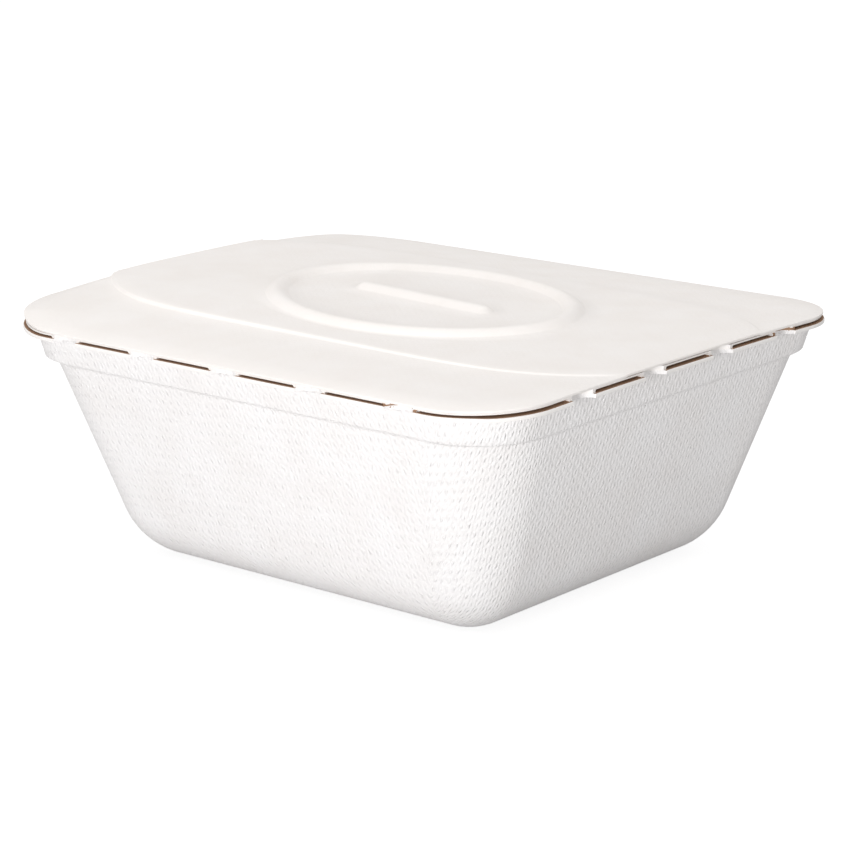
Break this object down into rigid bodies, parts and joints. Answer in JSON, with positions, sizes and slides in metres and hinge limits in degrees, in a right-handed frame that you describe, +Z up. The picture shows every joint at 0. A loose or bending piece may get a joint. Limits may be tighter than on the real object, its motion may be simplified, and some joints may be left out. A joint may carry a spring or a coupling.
{
  "type": "lidded takeout container",
  "caption": "Deep rectangular takeout tray of moulded plant fibre with flared walls and a slotted rim, closed by a loose lid with a raised panel, rim and lid bowed.",
  "frame": {"origin": "middle of the underside of the tray", "axes": "+X along the long side, +Y along the short side towards the back, +Z up out of the tray"},
  "size_m": [0.1808, 0.1608, 0.0764],
  "materials": {
    "tray_fibre": "matte moulded plant fibre with the fine print of the forming mesh",
    "lid_fibre": "matte moulded plant fibre, pressed smoother than the tray"
  },
  "bodies": {
    "root": {"tray": "tray_fibre", "lid": "lid_fibre"}
  },
  "joints": []
}
